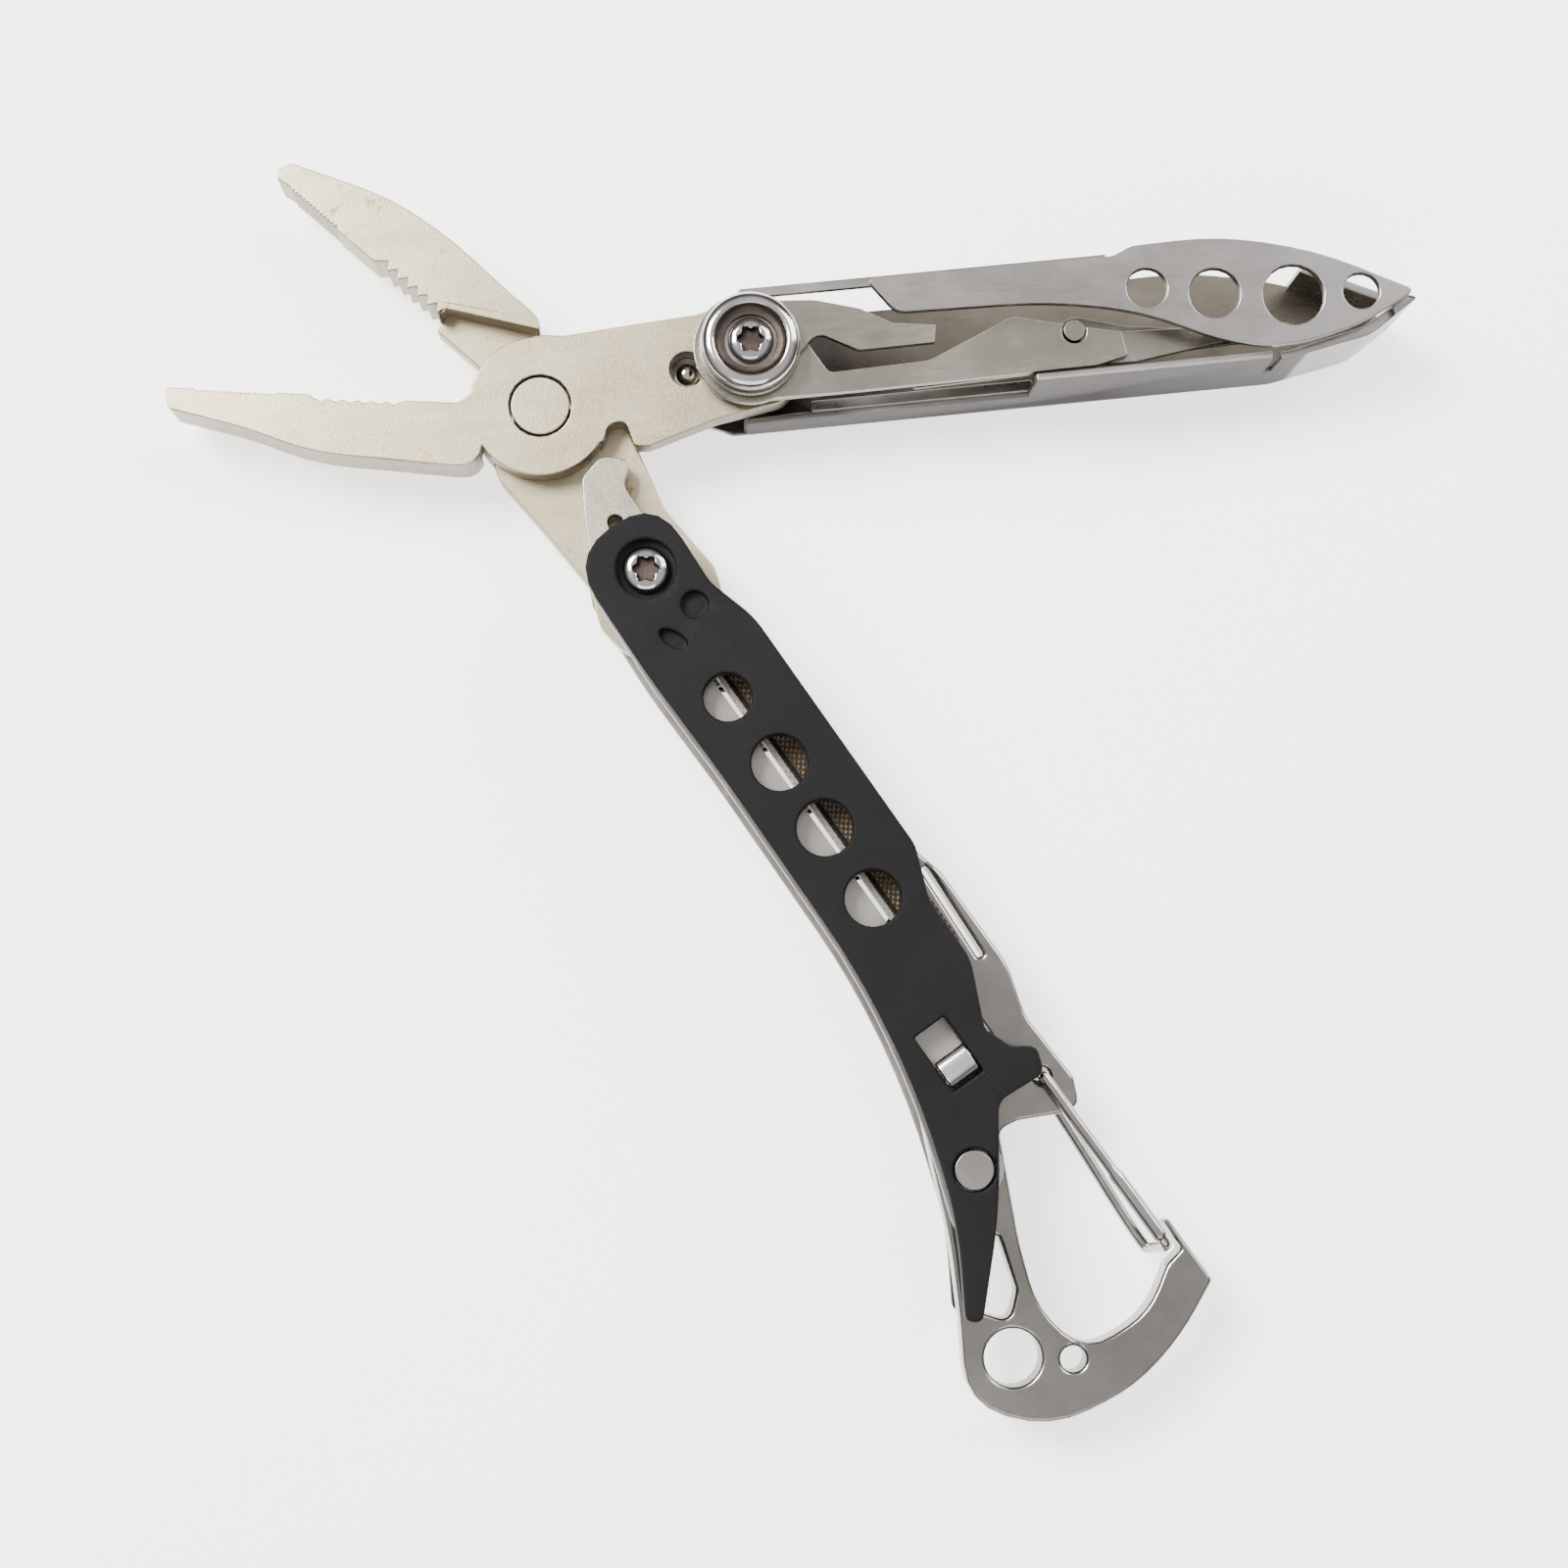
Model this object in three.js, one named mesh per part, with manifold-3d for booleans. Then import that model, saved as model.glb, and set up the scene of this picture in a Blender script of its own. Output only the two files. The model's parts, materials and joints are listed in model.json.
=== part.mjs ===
// A keychain multi tool, lying flat and half opened: pliers, a steel handle with scissors
// and a screwdriver, and a black handle with a nail file, tweezers and a carabiner.
// Millimetres, +Z up. Every outline lies in the XY plane and is given thickness along Z.
// Each handle, jaw and tool is drawn in a frame of its own: x along the piece, origin on its pivot.
import * as THREE from 'three';
import { mergeVertices } from 'three/addons/utils/BufferGeometryUtils.js';
import Module from 'manifold-3d';

const wasm = await Module();
wasm.setup();

// ---- Driving dimensions --------------------------------------------------------------
const DEGREE = Math.PI / 180;

// Directions of the pieces as the tool lies, in degrees from +X.
const JAW_A_ANGLE = 177.6;
const JAW_B_ANGLE = 139.4;
const ARM_A_ANGLE = 14.68;
const ARM_B_ANGLE = -58.26;
const STEEL_HANDLE_ANGLE = 6.1;
const BLACK_HANDLE_ANGLE = -54.35;

const ARM_A_LENGTH = 16.5; // jaw rivet to steel handle screw
const ARM_B_LENGTH = 15.56; // jaw rivet to black handle screw

// Layers, from the surface that the tool lies on.
const LOWER_SCALE = [0, 1.5];
const LOWER_LINER = [1.6, 2.3];
const LOWER_JAW = [2.4, 4.7];
const UPPER_JAW = [4.8, 7.1];
const JAW_TOP_B = 6.9;
const JAW_BOTTOM_A = 2.6;
const FRAME_PLATE = [4.0, 7.0];
const FILE_LAYER = [7.2, 7.9];
const TWEEZERS_LAYER = [8.0, 8.6];
const TWEEZERS_TAB_TOP = 11.3;
const LEAF_THICKNESS = 0.22;
const UPPER_LINER = [8.7, 9.4];
const UPPER_SCALE = [9.5, 11.0];
const STEEL_BASE = [0.7, 1.5];
const STEEL_TOP = [9.9, 10.7];
const STEEL_BAR_TOP = 4.2;
const STEEL_STRIP_TOP = 4.4; // the strip inside the bar
const TIP_WALL_TOP = 6.5; // the low wall that closes the tip on the open side
const BLADE_LAYER = [7.2, 7.6];
const FIXED_BLADE_LAYER = [7.65, 8.15];
const SCISSORS_LAYER = [8.05, 8.85];
const DRIVER_LAYER = [8.95, 9.75];

const DISC_RADIUS = 5.4; // both jaws round the main rivet
const JAW_CLEAR_RADIUS = 5.75; // where a jaw's full thickness starts
const CUTTER_EDGE = 0.45; // jaw B's lower half reaches past its centre line here
const GRIP_GAP = 0.15; // jaw B's grip stands back by this from its centre line
const RIVET_RADIUS = 2.25;
const LINK_HOLE = 1.35; // radius of the plain hole in arm A
const PIVOT_SHANK = 1.4;
const PIVOT_BORE = 1.6;
const SCREW_HEAD = 1.75;
const HEAD_RECESS = 2.25; // radius of the recess round a screw head in a scale
const TORX_RADIUS = 0.85;
const WIRE_RADIUS = 0.45;
const CURVE_STEPS = 4;
const ROUND_STEPS = 28;

// ---- Helpers -------------------------------------------------------------------------
// A closed outline from corners [x, y, radius]: each corner is rounded by its radius.
function outline(corners) {
  const shape = new THREE.Shape();
  const count = corners.length;
  corners.forEach(([x, y, radius = 0], i) => {
    const here = new THREE.Vector2(x, y);
    const before = new THREE.Vector2(...corners[(i + count - 1) % count]);
    const after = new THREE.Vector2(...corners[(i + 1) % count]);
    const back = before.clone().sub(here);
    const ahead = after.clone().sub(here);
    const half = Math.abs(back.angleTo(ahead)) / 2;
    const most = 0.49 * Math.min(back.length(), ahead.length());
    const run = radius > 0 ? Math.min(radius / Math.tan(half), most) : 0;
    const start = here.clone().addScaledVector(back.normalize(), run);
    const end = here.clone().addScaledVector(ahead.normalize(), run);
    if (i === 0) shape.moveTo(start.x, start.y);
    else shape.lineTo(start.x, start.y);
    if (run > 0) shape.quadraticCurveTo(x, y, end.x, end.y);
  });
  shape.closePath();
  return shape;
}

function toSolid(geometry) {
  const bare = geometry.clone();
  bare.deleteAttribute('normal');
  bare.deleteAttribute('uv');
  const merged = mergeVertices(bare, 1e-4);
  return new wasm.Manifold(new wasm.Mesh({
    numProp: 3,
    vertProperties: new Float32Array(merged.attributes.position.array),
    triVerts: new Uint32Array(merged.index.array),
  }));
}

function toGeometry(solid) {
  const mesh = solid.getMesh();
  const geometry = new THREE.BufferGeometry();
  geometry.setAttribute('position', new THREE.BufferAttribute(mesh.vertProperties, 3));
  geometry.setIndex(new THREE.BufferAttribute(mesh.triVerts, 1));
  geometry.computeVertexNormals();
  return geometry;
}

// A plate with the given outline between two heights.
function plate(corners, [low, high], steps = CURVE_STEPS) {
  const shape = corners instanceof THREE.Shape ? corners : outline(corners);
  const geometry = new THREE.ExtrudeGeometry(shape, {
    depth: high - low, bevelEnabled: false, curveSegments: steps,
  });
  geometry.translate(0, 0, low);
  return toSolid(geometry);
}

function cylinder(x, y, radius, [low, high], steps = ROUND_STEPS) {
  const geometry = new THREE.CylinderGeometry(radius, radius, high - low, steps);
  geometry.rotateX(Math.PI / 2);
  geometry.translate(x, y, (low + high) / 2);
  return toSolid(geometry);
}

// A turned piece from profile points [radius, height], which start and end on the axis
// or close on themselves.
function turned(profile, x = 0, y = 0) {
  const points = profile.map(([radius, height]) => new THREE.Vector2(radius, height));
  const geometry = new THREE.LatheGeometry(points, ROUND_STEPS);
  geometry.rotateX(Math.PI / 2);
  geometry.translate(x, y, 0);
  return toSolid(geometry);
}

// A plain ring round [x, y].
function spacer([x, y], inner, outer, [low, high]) {
  return turned([[inner, low], [outer, low], [outer, high], [inner, high], [inner, low]], x, y);
}

const ALL_HEIGHTS = [-1, 14];

function bore(x, y, radius, heights = ALL_HEIGHTS, steps = 20) {
  return cylinder(x, y, radius, heights, steps);
}

function cutAll(solid, cutters) {
  return cutters.reduce((left, cutter) => left.subtract(cutter), solid);
}

// Six-lobed driver recess, open at the top.
function torx(x, y, [low, high]) {
  const shape = new THREE.Shape();
  const steps = 36;
  for (let i = 0; i < steps; i += 1) {
    const turn = (2 * Math.PI * i) / steps;
    const radius = TORX_RADIUS * (1 + 0.16 * Math.cos(6 * turn));
    if (i === 0) shape.moveTo(x + radius, y);
    else shape.lineTo(x + radius * Math.cos(turn), y + radius * Math.sin(turn));
  }
  shape.closePath();
  return plate(shape, [low, high]);
}

// Corner points of a row of saw teeth along x, standing down from y by depth.
function teeth(from, to, count, y, depth) {
  const pitch = (to - from) / count;
  const points = [];
  for (let i = 0; i < count; i += 1) {
    points.push([from + pitch * i, y], [from + pitch * (i + 0.5), y - depth]);
  }
  return points;
}

// ---- Materials -----------------------------------------------------------------------
const material = (color, roughness, metalness) => (
  new THREE.MeshStandardMaterial({ color, roughness, metalness })
);
const JAW_STEEL = material(0xc4bdb0, 0.45, 0.9);
const SATIN_STEEL = material(0xb4b0ae, 0.4, 0.9);
const POLISHED_STEEL = material(0xd8d6d4, 0.15, 1.0);
const FILE_STEEL = material(0x9a8468, 0.7, 0.7);
const BLACK_NYLON = material(0x2a2828, 0.6, 0.0);

// ---- Groups: one for each frame -----------------------------------------------------
const group = new THREE.Group();
const tool = new THREE.Group();
group.add(tool);

function frameAt(x, y, degrees) {
  const frame = new THREE.Group();
  frame.position.set(x, y, 0);
  frame.rotation.z = degrees * DEGREE;
  tool.add(frame);
  return frame;
}

const along = (length, degrees) => [
  length * Math.cos(degrees * DEGREE), length * Math.sin(degrees * DEGREE),
];
const STEEL_PIVOT = along(ARM_A_LENGTH, ARM_A_ANGLE);
const BLACK_PIVOT = along(ARM_B_LENGTH, ARM_B_ANGLE);
const jawAFrame = frameAt(0, 0, JAW_A_ANGLE);
const jawBFrame = frameAt(0, 0, JAW_B_ANGLE);
const steelFrame = frameAt(...STEEL_PIVOT, STEEL_HANDLE_ANGLE);
const blackFrame = frameAt(...BLACK_PIVOT, BLACK_HANDLE_ANGLE);

function add(frame, name, solid, surface) {
  const mesh = new THREE.Mesh(toGeometry(solid), surface);
  mesh.name = name;
  frame.add(mesh);
}

// ---- Plier head ----------------------------------------------------------------------
// Jaw A's outline: the body lies on the +y side of its grip.
const JAW_A_OUTLINE = [
  [4.2, 5.1, 2], [11.1, 4.75, 30], [17.2, 4.5, 30], [22.1, 2.9, 30], [28.1, 1.65, 0.5],
  [28.5, 0.0, 0.3], ...teeth(26.2, 20.2, 16, 0.0, -0.2), [20.0, 0.0],
  [17.6, 0.0], ...teeth(17.2, 10.6, 6, 0.25, -0.25), [10.2, 0.1], [6.2, 0.1, 0.8], [4.2, -1.9, 1],
];

function armA() {
  return plate([
    [-1, 5.35, 1], [1.4, 5.35, 2], [3.0, 4.85, 3], [9.6, 4.3, 8], [13.3, 3.95, 4],
    [17.0, 4.2, 2], [20.2, 3.0, 2], [20.6, -2.8, 2.5], [18.0, -4.3, 2], [12.8, -4.35, 4],
    [7.3, -5.1, 1.2], [6.2, -4.8, 0.5], [6.0, -2.7, 0.8], [4.7, -2.7, 0.9], [4.0, -3.9, 0.5],
    [0, -4],
  ], UPPER_JAW).rotate([0, 0, ARM_A_ANGLE - JAW_A_ANGLE]);
}

function jawA() {
  const fullJaw = plate(JAW_A_OUTLINE, [JAW_BOTTOM_A, UPPER_JAW[1]])
    .subtract(cylinder(0, 0, JAW_CLEAR_RADIUS, [JAW_BOTTOM_A - 1, UPPER_JAW[0]], 48));
  const cutterPocket = plate([[3, -2.2], [10.9, -2.2], [10.9, 0.8], [3, 0.8]], [0, UPPER_JAW[0] - 0.02]);
  const [linkX, linkY] = along(11.6, ARM_A_ANGLE - JAW_A_ANGLE);
  return cutAll(
    fullJaw.add(cylinder(0, 0, DISC_RADIUS, UPPER_JAW, 48)).add(armA()),
    [
      bore(0, 0, RIVET_RADIUS + 0.15),
      bore(...along(ARM_A_LENGTH, ARM_A_ANGLE - JAW_A_ANGLE), PIVOT_BORE),
      bore(linkX, linkY, LINK_HOLE),
      cutterPocket,
    ],
  );
}

// Jaw B's outline: the body lies on the -y side of its grip.
const JAW_B_OUTLINE = [
  [4.0, 0.6, 0.5], [6.0, CUTTER_EDGE], [10.3, CUTTER_EDGE, 0.2], [10.5, -0.7],
  ...teeth(10.7, 16.7, 6, -0.25, 0.6), [17.0, -GRIP_GAP],
  [20.6, -GRIP_GAP], ...teeth(20.8, 25.8, 14, -GRIP_GAP, 0.2),
  [26.9, -GRIP_GAP, 0.3], [27.3, -0.8, 0.4], [26.9, -1.8, 0.6], [19.4, -4.75, 40],
  [14, -5.4, 40], [7.5, -5.15, 40], [3.6, -5.2, 2],
];

function armB() {
  return plate([
    [1.0, -5.2, 1], [3.0, -5.45, 2], [8.9, -4.5, 5], [13.4, -3.9, 2], [16.6, -4.8, 2],
    [20.4, -4.0, 2.6], [20.8, 4.2, 3], [17.2, 5.1, 2], [11.5, 4.15, 3], [6.6, 4.8, 2],
    [4.6, 5.4, 2], [1.0, 5.2, 2],
  ], LOWER_JAW).rotate([0, 0, ARM_B_ANGLE - JAW_B_ANGLE]);
}

function jawB() {
  const fullJaw = plate(JAW_B_OUTLINE, [LOWER_JAW[0], JAW_TOP_B])
    .subtract(cylinder(0, 0, JAW_CLEAR_RADIUS, [LOWER_JAW[1], JAW_TOP_B + 1], 48));
  const cutterStep = plate([
    [2.0, 1.2], [2.0, -5.5], [10.4, -1.0], [10.4, 1.2],
  ], [LOWER_JAW[1], JAW_TOP_B + 1]);
  return cutAll(
    fullJaw.add(cylinder(0, 0, DISC_RADIUS, LOWER_JAW, 48)).add(armB()),
    [
      cutterStep,
      bore(0, 0, RIVET_RADIUS + 0.15),
      bore(...along(ARM_B_LENGTH, ARM_B_ANGLE - JAW_B_ANGLE), PIVOT_BORE),
    ],
  );
}

add(jawAFrame, 'jaw_a', jawA(), JAW_STEEL);
add(jawBFrame, 'jaw_b', jawB(), JAW_STEEL);
add(jawBFrame, 'jaw_rivet', cylinder(0, 0, RIVET_RADIUS, [LOWER_JAW[0], UPPER_JAW[1] - 0.05]), JAW_STEEL);

// Return lever: it turns on the black handle's screw and its head meets the notch in arm A.
function returnLever() {
  const lever = plate([
    [-9.1, 0.4, 1.0], [-9.7, 2.6, 1.2], [-8.3, 4.1, 0.8], [-7.4, 3.5, 0.5], [-6.8, 2.65, 1],
    [-3.6, 2.6, 2], [1.8, 3.1, 2], [3.2, 0, 2], [1.8, -3.1, 2], [-3.4, -2.7, 2], [-6.5, -1.2, 2],
  ], UPPER_JAW);
  return cutAll(lever, [bore(0, 0, PIVOT_BORE), bore(-4.8, 0.5, 0.6)]);
}
add(blackFrame, 'return_lever', returnLever(), SATIN_STEEL);

// ---- Steel handle --------------------------------------------------------------------
const STEEL_TIP = [50.9, -0.9];
const LOBE_HOLES = [[30.4, 1.2, 1.55], [35.5, 0.3, 1.95], [41.5, -0.4, 2.35], [46.7, -0.6, 1.4]];

function steelTopPlate() {
  const lobe = plate([
    [9.2, 3.95, 0.3], [28.1, 3.95, 1], [29.6, 4.6, 2], [36.2, 4.75, 40], [43.5, 3.0, 40],
    [...STEEL_TIP, 0.4], [46.4, -3.2, 30], [40.2, -4.45, 40], [35.4, -3.3, 40],
    [30.0, -0.6, 40], [23.0, 0.9, 40], [11.2, 1.2, 1.6],
  ], STEEL_TOP);
  const rim = plate([
    [-0.5, 4.2, 0.2], [27.6, 4.2, 0.1], [27.6, 3.45], [-0.5, 3.45, 0.2],
  ], [STEEL_TOP[0] - 0.1, STEEL_TOP[1] - 0.3]);
  return lobe.add(rim).add(cylinder(0, 0, 3.65, STEEL_TOP, 40));
}

const WALL_OUTSIDE = -4.9;

function steelBase() {
  return plate([
    [-6.6, 2.8, 2.4], [-3.4, 3.9, 3], [28.1, 3.9, 1], [29.8, 4.5, 2], [35, 4.6, 40], [43, 3.1, 40],
    [51.4, -1.0, 0.6], [47.4, -3.7, 4], [41, WALL_OUTSIDE, 4], [-1.6, WALL_OUTSIDE, 1], [-6.6, -2.8, 2.4],
  ], STEEL_BASE);
}

function steelWall() {
  const full = plate([
    [21.4, -4.3], [21.4, WALL_OUTSIDE], [41, WALL_OUTSIDE, 3], [47.4, -3.7, 4], [51.2, -1.3, 0.3],
    [50.4, -1.0, 0.3], [46.8, -3.0, 4], [41, -4.3, 3],
  ], [STEEL_BASE[0], STEEL_TOP[0] + 0.1]);
  const tipStep = plate([
    [39.6, -6], [49.2, -6], [49.2, 0.2], [39.6, 0.2],
  ], [STEEL_TOP[0] - 0.7, STEEL_TOP[0] + 1]);
  const wallTop = plate([[20, -6], [39.7, -6], [39.7, 0], [20, 0]], [STEEL_TOP[0] - 0.3, STEEL_TOP[0] + 1]);
  const bar = plate([
    [-0.8, -4.3, 0.3], [-0.8, WALL_OUTSIDE, 0.5], [21.7, WALL_OUTSIDE], [21.7, -4.3],
  ], [STEEL_BASE[0], STEEL_BAR_TOP]);
  const strip = plate([
    [4.4, -3.5, 0.3], [4.4, -4.4, 0.3], [21.8, -4.4], [21.8, -3.5],
  ], [STEEL_BASE[0], STEEL_STRIP_TOP]);
  const tipWall = plate([
    [43.2, 2.4, 0.2], [49.6, -0.7, 0.2], [50.2, -0.2, 0.2], [43.4, 3.0, 0.2],
  ], [STEEL_BASE[0], TIP_WALL_TOP]);
  const notch = plate([[39.7, -6], [40.3, -6], [40.3, -4], [39.7, -4]], [5, STEEL_TOP[0] + 1]);
  return cutAll(full, [tipStep, wallTop, notch]).add(bar).add(strip).add(tipWall);
}

function steelChannel() {
  const channel = steelBase().add(steelWall()).add(steelTopPlate());
  return cutAll(channel, [
    bore(0, 0, PIVOT_BORE),
    ...LOBE_HOLES.map(([x, y, radius]) => bore(x, y, radius, [8, 12])),
  ]);
}

const SCISSORS_RIVET = [24.8, -1.1];
const SCISSORS_BORE = 0.95;

function scissorsBody() {
  const arm = plate([
    [-3.6, 2.6, 2.4], [0, 3.8, 2.4], [3.6, 1.4, 2], [5.8, -2.5, 0.8], [13.5, -2.3, 3], [20.2, 0.45, 1.4],
    [28.4, -1.55, 0.2], [28.7, -3.4, 0.2], [26.2, -3.95, 2], [8.0, -4.1, 4], [0, -4.0, 3],
    [-3.8, -2.4, 2.4],
  ], SCISSORS_LAYER);
  const blade = plate([
    [21.0, -0.8, 1], [28, -1.3, 1], [43.4, -1.9, 0.3], [29.4, -3.8, 2], [21.0, -3.8, 1],
  ], FIXED_BLADE_LAYER);
  const hub = cylinder(0, 0, 4.3, SCISSORS_LAYER, 40);
  return cutAll(arm.add(blade).add(hub), [bore(0, 0, PIVOT_BORE), bore(...SCISSORS_RIVET, SCISSORS_BORE)]);
}

function scissorsBlade() {
  const blade = plate([
    [12.0, -3.5, 0.5], [20.2, -1.4, 3], [25.1, 0.3, 1.4], [29, -0.8, 1], [42.8, -2.8, 0.3],
    [29.2, -3.3, 2], [24.2, -3.8, 2], [12.2, -4.1, 0.3],
  ], BLADE_LAYER);
  return blade.subtract(bore(...SCISSORS_RIVET, SCISSORS_BORE));
}

function screwdriver() {
  const driver = plate([
    [-3.2, 2.4, 2], [0, 3.4, 2], [5.2, 3.0, 4], [8.6, 2.0, 3], [11.0, 0.6, 1], [14.2, 0.2, 0.1],
    [14.0, -1.15, 0.1], [8.2, -1.2, 1.4], [5.2, 0.45, 1], [3.0, -1.6, 1], [0, -3.4, 2],
    [-3.2, -2.2, 2],
  ], DRIVER_LAYER);
  return driver.add(cylinder(0, 0, 3.85, DRIVER_LAYER, 40)).subtract(bore(0, 0, PIVOT_BORE));
}

add(steelFrame, 'steel_channel', steelChannel(), SATIN_STEEL);
add(steelFrame, 'scissors_body', scissorsBody(), SATIN_STEEL);
add(steelFrame, 'scissors_blade', scissorsBlade(), SATIN_STEEL);
add(steelFrame, 'scissors_rivet', turned([
  [0, 7.2], [0.8, 7.2], [0.8, 8.95], [0, 8.95],
], ...SCISSORS_RIVET), POLISHED_STEEL);
add(steelFrame, 'screwdriver', screwdriver(), SATIN_STEEL);
add(steelFrame, 'hub_spacer', spacer([0, 0], PIVOT_BORE, 3.4, [1.6, 4.7]), POLISHED_STEEL);
add(steelFrame, 'hub_washer', spacer([0, 0], PIVOT_BORE, 2.9, [7.2, 7.95]), POLISHED_STEEL);
add(steelFrame, 'hub_collar', turned([
  [1.95, 10.8], [3.5, 10.8], [3.75, 11.05], [3.6, 11.4], [3.1, 11.65], [2.6, 11.65], [2.4, 11.45],
  [2.0, 11.4], [1.95, 10.8],
]), POLISHED_STEEL);
add(steelFrame, 'hub_screw', turned([
  [0, 0.75], [PIVOT_SHANK, 0.75], [PIVOT_SHANK, 10.8], [SCREW_HEAD, 10.85], [SCREW_HEAD, 11.3],
  [1.45, 11.6], [0, 11.65],
]).subtract(torx(0, 0, [11.0, 12])), POLISHED_STEEL);
add(steelFrame, 'hub_nut', turned([[0, 0], [2.6, 0], [2.8, 0.2], [2.8, 0.6], [0, 0.6]]), POLISHED_STEEL);

// ---- Black handle --------------------------------------------------------------------
const SCALE_OUTLINE = [
  [-4.1, -4.2, 4.4], [-4.1, 3.75, 3.6], [3.6, 3.35, 3], [7.6, 4.5, 8], [28.4, 4.3, 3],
  [32.3, 2.75, 3], [37.6, 2.7, 4], [42.4, 0.5, 0.8], [44.6, 1.35, 0.8], [45.6, 2.9, 0.9],
  [47.6, 2.2, 1.0], [47.3, -1.8, 1.4], [53.8, -6.45, 40], [59.6, -12.2, 0.7], [58.8, -13.2, 0.7],
  [52.7, -9.45, 60], [44.0, -6.5, 60], [34, -4.7, 60], [16, -4.4, 60], [6.7, -4.55, 60],
];
const SCALE_HOLES = [[11.4, -0.65, 1.8], [17.6, -0.35, 2.1], [23.5, -0.45, 2.1], [29.8, -0.6, 2.1]];
const SCALE_RIVET = [50.3, -6.2];
const FRAME_PIN = [46.8, -4.6];
const WINDOW = [39.9, 44.8, -4.15, -1.4]; // tweezers' window: x from, x to, y from, y to

function windowCutter(heights) {
  const [x0, x1, y0, y1] = WINDOW;
  return plate([[x0, y0, 0.2], [x1, y0, 0.2], [x1, y1, 0.2], [x0, y1, 0.2]], heights);
}

function upperScale() {
  const ovalDimple = bore(0, 0, 0.55, [10.3, 12]).scale([2.1, 1, 1]).rotate([0, 0, 25])
    .translate([5.5, -1.4, 0]);
  return cutAll(plate(SCALE_OUTLINE, UPPER_SCALE, 5), [
    ...SCALE_HOLES.map(([x, y, radius]) => bore(x, y, radius, ALL_HEIGHTS, 28)),
    windowCutter(ALL_HEIGHTS),
    bore(0, 0, HEAD_RECESS, [10.1, 12], 28),
    bore(0, 0, PIVOT_BORE),
    bore(4.3, 1.4, 1.0, [10.3, 12]),
    bore(...SCALE_RIVET, 1.6),
    ovalDimple,
  ]);
}

function lowerScale() {
  return cutAll(plate(SCALE_OUTLINE, LOWER_SCALE, 5), [
    ...SCALE_HOLES.map(([x, y, radius]) => bore(x, y, radius, ALL_HEIGHTS, 28)),
    bore(0, 0, HEAD_RECESS, [-1, 0.9], 28),
    bore(0, 0, PIVOT_BORE),
    bore(...SCALE_RIVET, 1.6),
  ]);
}

const LINER_OUTLINE = [
  [-3.7, -4.1, 4.2], [-3.7, 3.55, 3.4], [3.6, 3.15, 2], [7.5, 4.25, 6], [28.7, 4.1, 2], [32.1, 2.5, 2],
  [38.6, 2.2, 1], [42.4, 0.2, 0.8], [45.6, 0.5, 1], [46.8, -2.2, 0.8], [53.0, -6.95, 2], [53.8, -10.15, 1],
  [44.0, -6.7, 60], [34, -4.9, 60], [16, -4.6, 60], [6.7, -4.75, 60],
];

function liner(heights, window) {
  return cutAll(plate(LINER_OUTLINE, heights), [
    ...SCALE_HOLES.map(([x, y, radius]) => bore(x, y, radius + 0.25, ALL_HEIGHTS)),
    bore(0, 0, PIVOT_BORE),
    bore(...SCALE_RIVET, 1.35),
    bore(...FRAME_PIN, 1.0),
    ...(window ? [windowCutter(ALL_HEIGHTS)] : []),
  ]);
}

const LANYARD_HOLE = [63.5, -11.75, 2.15];
const SMALL_HOLE = [66.2, -8.15, 0.97];
const GATE_PIVOT = [47.9, 2.3];
const SPRING_SLOT = [[30.0, 3.95, 0.2], [38.0, 3.55, 0.25], [38.1, 4.1, 0.25], [30.1, 4.5, 0.2]];

function carabinerFrame() {
  const hook = plate([
    [6.0, 3.2, 0.2], [28.0, 3.2, 1], [31.5, 1.2, 2], [44.2, 0.9, 1], [44.2, -6.5, 0.4],
    [48.5, -8.3, 40], [53.8, -10.5, 40], [58.9, -13.3, 40], [64.2, -16.6, 5], [69.4, -12.6, 40],
    [70.6, -5.6, 40], [69.6, -0.6, 20], [67.6, 3.75, 0.5], [62.0, 3.75, 0.2], [62.0, 3.3, 0.2],
    [64.4, 3.2, 0.3], [64.7, 1.6, 1], [66.7, -1.6, 20], [66.4, -7.0, 20], [61.8, -8.2, 20],
    [57.0, -6.4, 20], [49.3, -2.7, 0.9], [49.6, -1.1, 1], [51.0, 1.7, 0.5], [51.4, 3.3, 0.9],
    [49.4, 4.2, 1.2], [43.6, 3.95, 4], [39.6, 5.15, 6], [31.2, 5.15, 4], [27.0, 4.1, 1], [6.0, 4.1, 0.2],
  ], FRAME_PLATE);
  const drop = [[54.9, -7.1, 0.4], [59.6, -8.6, 1.0], [61.2, -10.4, 0.9], [59.1, -12.0, 0.8]];
  return cutAll(hook, [
    bore(...LANYARD_HOLE, ALL_HEIGHTS, 28),
    bore(...SMALL_HOLE),
    bore(...SCALE_RIVET, 1.35),
    bore(...FRAME_PIN, 1.0),
    bore(...GATE_PIVOT, WIRE_RADIUS + 0.2),
    plate(drop, ALL_HEIGHTS),
    plate(SPRING_SLOT, ALL_HEIGHTS),
  ]);
}

function nailFile() {
  const file = plate([
    [-3.0, -2.2, 2], [0, -3.2, 2], [3.6, -1.2, 2], [8, -0.2, 3], [35.0, -0.2, 2], [38.6, 1.6, 0.3],
    [36.0, 3.2, 2], [3, 3.3, 2], [-3.0, 2.4, 2],
  ], FILE_LAYER);
  const groove = plate([[9, 0.25], [33.5, 0.25], [33.5, 0.5], [9, 0.5]], [7.6, 9]);
  return cutAll(file, [bore(0, 0, PIVOT_BORE), groove]);
}

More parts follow.
